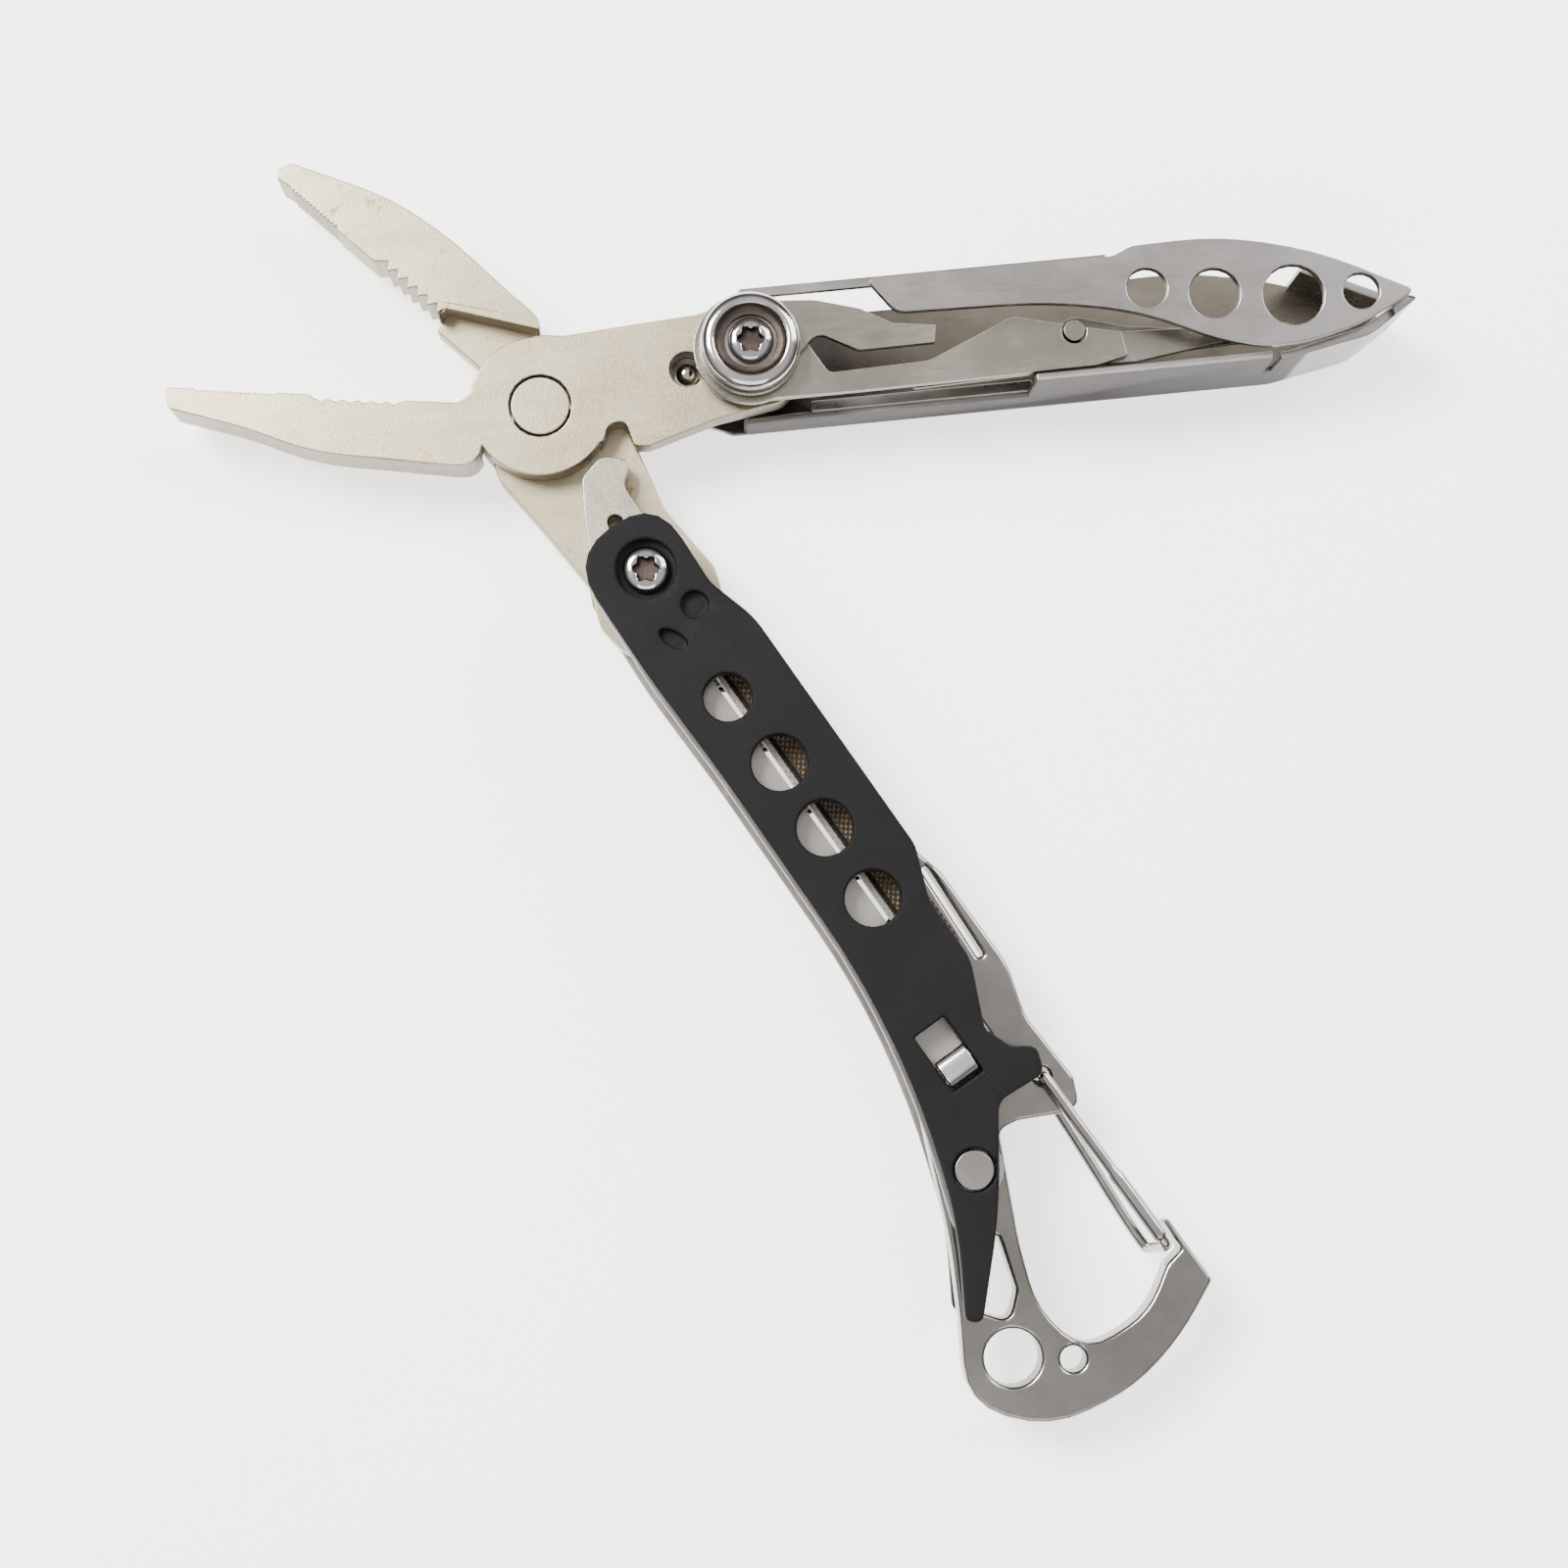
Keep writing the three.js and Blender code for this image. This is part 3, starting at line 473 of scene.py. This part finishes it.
def outline_of(node, side=1):
    """The loops in mm round the top (side 1) or bottom (side -1) face of a CAD plate, with the
    material on their left."""
    source = bmesh.new()
    source.from_mesh(frame["nodes"][node].data)
    bmesh.ops.remove_doubles(source, verts=source.verts, dist=WELD)
    level = side * max(side * v.co.z for v in source.verts)
    caps = {f for f in source.faces if all(abs(v.co.z - level) < 0.001 * MM for v in f.verts)}
    following = {}
    for face in source.faces:
        for corner in face.loops if face in caps else ():
            if len(caps.intersection(corner.edge.link_faces)) == 1:
                following[corner.vert] = corner.link_loop_next.vert
    loops = []
    while following:
        here = min(following, key=lambda v: v.index)
        chain = []
        while here in following:
            point = Vector((here.co.x, here.co.y)) / MM
            if not chain or (point - chain[-1]).length > SHORTEST_STEP:
                chain.append(point)
            here = following.pop(here)
        if (chain[0] - chain[-1]).length < SHORTEST_STEP:
            chain.pop()
        if len(chain) >= FEWEST_POINTS:
            loops.append(chain[::side])
    source.free()
    return loops


def corners_outline(pivot, degrees, corners, steps=6):
    """A loop in mm in the tool's frame from (x, y, radius) corners in a piece's own frame."""
    loop = []
    points = [Vector(c[:2]) for c in corners]
    for i, (_, _, radius) in enumerate(corners):
        here = points[i]
        back, ahead = points[i - 1] - here, points[(i + 1) % len(points)] - here
        run = min(radius / math.tan(back.angle(ahead) / 2), 0.45 * back.length, 0.45 * ahead.length)
        start, end = here + back.normalized() * run, here + ahead.normalized() * run
        for step in range(steps + 1):
            t = step / steps
            loop.append(start * (1 - t) ** 2 + here * 2 * t * (1 - t) + end * t * t)
    return [frame_point(pivot, degrees, point.x, point.y, 0).xy / MM for point in loop]


def add_plate(work, loops, low, top, width, rings=3):
    """Adds a plate in mm with its edges rounded by width."""
    levels = []
    for k in range(rings + 1):
        turn = math.pi / 2 * k / rings
        levels.append((width * (1 - math.sin(turn)), low + width * (1 - math.cos(turn))))
    levels += [(inset, low + top - height) for inset, height in reversed(levels)]
    ends = []
    for loop in loops:
        inward = []
        for i, point in enumerate(loop):
            before = (point - loop[i - 1]).normalized()
            after = (loop[(i + 1) % len(loop)] - point).normalized()
            middle = before + after
            middle = (middle if middle.length > 0.2 else before).normalized()
            left = Vector((-middle.y, middle.x))
            inward.append(left / max(0.6, middle.dot(before)))
        rows = [
            [work.verts.new((*(point + inward[i] * inset), height)) for i, point in enumerate(loop)]
            for inset, height in levels
        ]
        for lower, upper in zip(rows, rows[1:]):
            for i in range(len(loop)):
                ahead = (i + 1) % len(loop)
                work.faces.new((lower[i], lower[ahead], upper[ahead], upper[i]))
        ends.append((rows[0], rows[-1]))
    for side in (0, 1):
        rims = [pair[side] for pair in ends]
        rim = [work.edges.get((row[i - 1], row[i])) for row in rims for i in range(len(row))]
        bmesh.ops.triangle_fill(work, use_beauty=True, use_dissolve=False, edges=rim)


def mesh_from(work, name, scale=MM):
    """The finished mesh of a bmesh whose units are scale metres."""
    bmesh.ops.recalc_face_normals(work, faces=work.faces)
    mesh = bpy.data.meshes.new(name)
    work.to_mesh(mesh)
    work.free()
    mesh.transform(Matrix.Scale(scale, 4))
    return mesh


def rings_mesh(name, center, rings, closed=False, steps=96):
    """A turned piece round center from rings (radius, height) in mm. A third value waves the ring's radius
    six times by that share of it."""
    work = bmesh.new()
    loops = []
    for radius, height, *lobe in rings:
        if radius == 0:
            loops.append([work.verts.new((center.x, center.y, height * MM))])
            continue
        loop = []
        for i in range(steps):
            turn = 2 * math.pi * i / steps
            reach = radius * (1 + (lobe[0] if lobe else 0) * math.cos(6 * turn)) * MM
            point = (center.x + reach * math.cos(turn), center.y + reach * math.sin(turn), height * MM)
            loop.append(work.verts.new(point))
        loops.append(loop)
    following = loops[1:] + (loops[:1] if closed else [])
    for first, second in zip(loops, following):
        for i in range(steps):
            ahead = (i + 1) % steps
            if len(first) == 1:
                work.faces.new((first[0], second[ahead], second[i]))
            elif len(second) == 1:
                work.faces.new((first[i], first[ahead], second[0]))
            else:
                work.faces.new((first[i], first[ahead], second[ahead], second[i]))
    return mesh_from(work, name, 1.0)


def frame_point(pivot, degrees, x, y, z):
    """A point in mm in a piece's own frame, as metres in the tool's frame."""
    turn = math.radians(degrees)
    return Vector((
        pivot.x + (x * math.cos(turn) - y * math.sin(turn)) * MM,
        pivot.y + (x * math.sin(turn) + y * math.cos(turn)) * MM,
        z * MM,
    ))


def smooth_path(points, per_span):
    """A Catmull-Rom curve through the points, with per_span steps from each to the next."""
    path = []
    padded = [points[0]] + points + [points[-1]]
    for i in range(len(points) - 1):
        a, b, c, d = padded[i:i + 4]
        for step in range(per_span):
            t = step / per_span
            path.append(0.5 * (2 * b + (c - a) * t + (2 * a - 5 * b + 4 * c - d) * t * t
                               + (3 * b - a - 3 * c + d) * t * t * t))
    path.append(points[-1])
    return path


def wire_mesh(name, path, radius_at, sides=20):
    """A round wire along path; radius_at gives its radius in mm at each point's index."""
    work = bmesh.new()
    side = Vector((0, 0, 1)).cross(path[1] - path[0])
    side = side.normalized() if side.length > 1e-9 else Vector((1, 0, 0))
    turns = [2 * math.pi * k / sides for k in range(sides)]
    loops = []
    for i, point in enumerate(path):
        ahead = path[min(i + 1, len(path) - 1)] - path[max(i - 1, 0)]
        ahead.normalize()
        side = (side - ahead * side.dot(ahead)).normalized()
        other = ahead.cross(side)
        reach = radius_at(i) * MM
        loops.append([
            work.verts.new(point + reach * (math.cos(turn) * side + math.sin(turn) * other))
            for turn in turns
        ])
    for first, second in zip(loops, loops[1:]):
        for k in range(sides):
            work.faces.new((first[k], first[(k + 1) % sides], second[(k + 1) % sides], second[k]))
    work.faces.new(list(reversed(loops[0])))
    work.faces.new(loops[-1])
    return mesh_from(work, name, 1.0)


# ---- Screws, collar and gate -----------------------------------------------------------
COLLAR_RINGS = [
    (1.98, 10.82), (3.45, 10.82), (3.62, 10.88), (3.72, 11.02), (3.72, 11.16), (3.66, 11.3), (3.5, 11.45),
    (3.28, 11.57), (3.1, 11.63), (2.95, 11.645), (2.82, 11.62), (2.74, 11.55), (2.66, 11.38), (2.5, 11.2),
    (2.3, 11.12), (2.0, 11.1), (1.98, 11.0),
]


def screw_rings(low, top):
    """A button head screw with a star recess, from low to top in mm."""
    return [
        (0, low), (1.32, low), (1.4, low + 0.08), (1.4, top - 0.84), (1.68, top - 0.8), (1.75, top - 0.73),
        (1.75, top - 0.5), (1.72, top - 0.36), (1.6, top - 0.22), (1.42, top - 0.1), (1.2, top - 0.03),
        (1.02, top, 0.1), (0.93, top - 0.04, 0.15), (0.87, top - 0.14, 0.16), (0.82, top - 0.6, 0.16),
        (0, top - 0.62),
    ]


def darken(piece, center, reach, below):
    """Paints shade: gives the faces within reach mm of center, and lower than below mm, the dark material of
    painted recess shade.
    """
    piece.data.materials.append(RECESS_SHADE)
    for face in piece.data.polygons:
        away = (face.center.xy - center.xy).length
        if away < reach * MM and face.center.z < below * MM:
            face.material_index = 1


def turned_piece(node, center, rings, sharp, recess, closed=False):
    """Replaces a CAD node by rings round center, with painted shade inside recess, (reach, below) in mm."""
    name = node + "_finished"
    piece = to_object(name, rings_mesh(name, center, rings, closed), sharp)
    finish_piece(piece, POLISHED, BODY_OF[node], "polished_steel", node)
    darken(piece, center, *recess)


HUB_SCREW = (0.8, 11.64)  # the underside and top of each screw in mm
PIVOT_SCREW = (1.0, 11.0)
STAR_REACH = 0.93  # the radius in mm inside which a screw's head is its star recess
# painted shade in the collar's inner ring and in each screw's star recess
turned_piece("hub_collar", STEEL_PIVOT, COLLAR_RINGS, 60, (2.72, 11.5), closed=True)
turned_piece("hub_screw", STEEL_PIVOT, screw_rings(*HUB_SCREW), 50, (STAR_REACH, HUB_SCREW[1] - 0.04))
turned_piece("pivot_screw", BLACK_PIVOT, screw_rings(*PIVOT_SCREW), 50, (STAR_REACH, PIVOT_SCREW[1] - 0.04))

# The ball in the hole of the steel handle's arm, which lies 11.6 mm from the main rivet.
ARM_HOLE = frame_point(JAW_PIVOT, 14.68, 11.6, 0, 0)
BALL_RINGS = [
    (0, 4.9), (1.3, 4.9), (1.3, 5.15), (0.85, 5.2), (0.8, 5.5), (0.6, 5.75), (0.3, 5.87), (0, 5.9),
]
ball = to_object("arm_hole_ball", rings_mesh("arm_hole_ball", ARM_HOLE, BALL_RINGS), 60)
finish_piece(ball, POLISHED, "jaw_a_arm", "jaw_steel")

GATE_WIRE = 0.44  # the gate wire's radius in mm
GATE_SLEEVE = 0.58  # its radius in the sleeve
SLEEVE_FROM, SLEEVE_TO, SLEEVE_ABOVE = 57.0, 62.6, 7.0  # where the sleeve is: along the handle and above
GATE_STEPS = 12  # points of the smoothed line from each corner to the next


def gate_points(nose=63.4, over=7.75, under=3.25):
    """The corners in mm of the gate wire's centre line, in the black handle's own frame: out above the
    plate, round the nose and back below it."""
    turn = math.radians(-BLACK_ANGLE)
    away = GATE_PIVOT - BLACK_PIVOT
    x = (away.x * math.cos(turn) - away.y * math.sin(turn)) / MM
    y = (away.x * math.sin(turn) + away.y * math.cos(turn)) / MM
    return [
        (x, y, 5.9), (x, y, over - 0.35), (x + 0.4, y, over), (x + 4, y, over), (x + 8, 2.35, over),
        (nose - 3, 2.4, over), (nose - 0.5, 2.4, over), (nose, 2.3, over - 0.5), (nose, 1.95, 5.5),
        (nose, 1.6, under + 0.5), (nose - 0.5, 1.45, under), (nose - 3, 1.5, under), (x + 8, 1.8, under),
        (x + 4, 2.05, under), (x + 0.4, y, under), (x, y, under + 0.35), (x, y, 5.1),
    ]


gate_corners = gate_points()
gate_line = [frame_point(BLACK_PIVOT, BLACK_ANGLE, *corner) for corner in gate_corners]


def gate_radius(index):
    """The wire's radius in mm at a point of its smoothed line."""
    span, step = divmod(index, GATE_STEPS)
    along, _, height = gate_corners[min(span, len(gate_corners) - 1)]
    ahead, _, _ = gate_corners[min(span + 1, len(gate_corners) - 1)]
    place = along + (ahead - along) * step / GATE_STEPS
    sleeved = height > SLEEVE_ABOVE and SLEEVE_FROM < place < SLEEVE_TO
    return GATE_SLEEVE if sleeved else GATE_WIRE


gate_mesh = wire_mesh("wire_gate_finished", smooth_path(gate_line, GATE_STEPS), gate_radius)
gate = to_object("wire_gate_finished", gate_mesh, 50)
finish_piece(gate, GATE_SHADED_STEEL, "gate", "polished_steel", "wire_gate")

# ---- Tweezers --------------------------------------------------------------------------
LEAF = [  # a leaf's outline in mm, in the black handle's own frame, with the radius of each corner
    (9, -3.6, 0.3), (33, -3.7, 4), (38, -4.1, 4), (44.1, -4.2, 0.3), (44.1, -1.35, 0.3), (38, -1.3, 1),
    (33, -0.6, 1), (9, -0.6, 0.3),
]
LEAF_THICKNESS = 0.22
LEAF_LOWS = (8.0, 8.38)
TAB = [  # the folded tab's side view: how far along the handle, how high
    (42.26, 8.4), (42.26, 10.6), (42.33, 10.9), (42.5, 11.14), (42.8, 11.28), (43.2, 11.33), (43.65, 11.3),
    (44.05, 11.18), (44.38, 10.95), (44.58, 10.65), (44.65, 10.3), (44.65, 8.4),
]
TAB_MIDDLE = 43.35
TAB_HALF_LENGTH = 1.2
TAB_ROWS = [  # how far across the handle, and how much smaller the side view is there to round the ends
    (-4.02, 0.12), (-3.97, 0.03), (-3.88, 0.0), (-1.63, 0.0), (-1.54, 0.03), (-1.5, 0.12),
]
TAB_ROOF_ABOVE = 9.0  # points of TAB above this are lowered with the rounding
TAB_ABOVE = 8.7  # faces above this are the tab's, those below are the leaves'


def add_tab(work):
    """Adds the tab in mm, folded over the ends of both leaves."""
    rows = []
    for across, shrink in TAB_ROWS:
        row = []
        for x, z in TAB:
            along = TAB_MIDDLE + (x - TAB_MIDDLE) * (1 - shrink / TAB_HALF_LENGTH)
            place = frame_point(BLACK_PIVOT, BLACK_ANGLE, along, across, z) / MM
            lowered = shrink if z > TAB_ROOF_ABOVE else 0.0
            row.append(work.verts.new((place.x, place.y, z - lowered)))
        rows.append(row)
    for first, second in zip(rows, rows[1:]):
        for i in range(len(TAB)):
            work.faces.new((first[i - 1], first[i], second[i], second[i - 1]))
    work.faces.new(rows[0])
    work.faces.new(list(reversed(rows[-1])))


tweezers_shape = bmesh.new()
for leaf_low in LEAF_LOWS:
    leaf = corners_outline(BLACK_PIVOT, BLACK_ANGLE, LEAF)
    add_plate(tweezers_shape, [leaf], leaf_low, leaf_low + LEAF_THICKNESS, 0.05, 2)
add_tab(tweezers_shape)
tweezers = to_object("tweezers_finished", mesh_from(tweezers_shape, "tweezers_finished"), 40)
finish_piece(tweezers, LEAF_STEEL, "tweezers_tool", "polished_steel", "tweezers")
# the tab's faces take the brighter steel: a polished finish with a painted highlight
tweezers.data.materials.append(TAB_HIGHLIGHT_STEEL)
for face in tweezers.data.polygons:
    if face.center.z > TAB_ABOVE * MM:
        face.material_index = 1


# ---- Plates and tools ------------------------------------------------------------------
def add_floor(work, center, low, top, across, along=None, degrees=0.0, hole=0.0, steps=40):
    """Adds the shallow bowl in mm that closes a recess at top height, with a hole through its middle if the
    hole's radius is given."""
    along = along or across
    levels = [(1.0, low), (1.0, top + 0.12), (0.82, top + 0.03), (0.6, top)]
    if hole:
        levels += [(hole / across, top), (hole / across, low)]
    rows = []
    for reach, height in levels:
        row = []
        for i in range(steps):
            turn = 2 * math.pi * i / steps
            place = Vector((reach * along * math.cos(turn), reach * across * math.sin(turn)))
            place.rotate(Matrix.Rotation(math.radians(degrees), 2))
            row.append(work.verts.new((center.x / MM + place.x, center.y / MM + place.y, height)))
        rows.append(row)
    bands = list(zip(rows, rows[1:])) + ([(rows[-1], rows[0])] if hole else [])
    for first, second in bands:
        for i in range(steps):
            work.faces.new((first[i - 1], first[i], second[i], second[i - 1]))
    if not hole:
        work.faces.new(rows[0])
        work.faces.new(rows[-1])


def plate_piece(node, surface, slot, low, top, width, side=1, floors=()):
    """The CAD plate's outline and openings, extruded again in mm with its edges rounded by width."""
    work = bmesh.new()
    add_plate(work, outline_of(node, side), low, top, width)
    for floor in floors:
        add_floor(work, **floor)
    piece = to_object(node + "_finished", mesh_from(work, node + "_finished"), 50)
    return finish_piece(piece, surface, BODY_OF[node], slot, node)


# The floors of the upper scale's screw recess, round dimple and oval dimple, and of the lower scale's recess.
UPPER_FLOORS = [
    dict(center=BLACK_PIVOT, low=9.5, top=10.1, across=2.35, hole=1.6),
    dict(center=frame_point(BLACK_PIVOT, BLACK_ANGLE, 4.3, 1.4, 0), low=9.5, top=10.3, across=1.1),
    dict(center=frame_point(BLACK_PIVOT, BLACK_ANGLE, 5.5, -1.4, 0), low=9.5, top=10.3, across=0.65,
         along=1.25, degrees=BLACK_ANGLE + 25),
]
LOWER_FLOORS = [dict(center=BLACK_PIVOT, low=0.9, top=1.4, across=2.35, hole=1.6)]

# Each plate's bottom, top and edge rounding in mm. The scales' outlines are those of their outer faces.
plate_piece("carabiner_frame", FRAME_SATIN, "satin_steel", 4.0, 7.0, 0.3)
plate_piece("upper_liner", BLACK_SATIN, "satin_steel", 8.7, 9.4, 0.12)
plate_piece("lower_liner", BLACK_SATIN, "satin_steel", 1.6, 2.3, 0.12)
plate_piece("upper_scale", NYLON, "black_nylon", 9.5, 11.0, 0.22, 1, UPPER_FLOORS)
plate_piece("lower_scale", NYLON, "black_nylon", 0.0, 1.5, 0.22, -1, LOWER_FLOORS)

DRESSED = [  # the other CAD nodes, each with its material, its slot and its edge rounding in mm
    ("jaw_a", JAW_STEEL, "jaw_steel", 0.12),
    ("jaw_b", JAW_STEEL, "jaw_steel", 0.12),
    ("jaw_rivet", JAW_STEEL, "jaw_steel", 0.12),
    ("return_lever", LEVER_STEEL, "satin_steel", 0.12),
    ("steel_channel", STEEL_SATIN, "satin_steel", 0.12),
    ("scissors_body", TOOL_SATIN, "satin_steel", 0.08),
    ("scissors_blade", TOOL_SATIN, "satin_steel", 0.05),
    ("screwdriver", TOOL_SATIN, "satin_steel", 0.08),
    ("scissors_rivet", TOOL_SATIN, "polished_steel", 0.06),
    ("hub_spacer", POLISHED, "polished_steel", 0.1),
    ("hub_washer", POLISHED, "polished_steel", 0.1),
    ("hub_nut", POLISHED, "polished_steel", 0.08),
    ("scale_rivet", BLACK_SATIN, "satin_steel", 0.08),
    ("frame_pin", POLISHED, "polished_steel", 0.08),
    ("frame_spacer_lower", POLISHED, "polished_steel", 0.08),
    ("frame_spacer_upper", POLISHED, "polished_steel", 0.08),
    ("pivot_washer", POLISHED, "polished_steel", 0.06),
    ("pivot_nut", POLISHED, "polished_steel", 0.08),
    ("nail_file", FILE, "file_steel", 0.06),
]
for node, surface, slot, width in DRESSED:
    dress(node, surface, slot, width)

# ---- Table -----------------------------------------------------------------------------
TABLE_REACH = 4.0  # metres from its middle to its edge
TABLE_DROP = 0.05 * MM  # how far it lies below the tool, so that no faces coincide
table_shape = bmesh.new()
bmesh.ops.create_grid(table_shape, x_segments=2, y_segments=2, size=TABLE_REACH)
table_mesh = bpy.data.meshes.new("table")
table_shape.to_mesh(table_mesh)
table_shape.free()
table_mesh.materials.append(table_surface("table_white"))
table = bpy.data.objects.new("table", table_mesh)
table.location.z = -TABLE_DROP
bpy.context.scene.collection.objects.link(table)
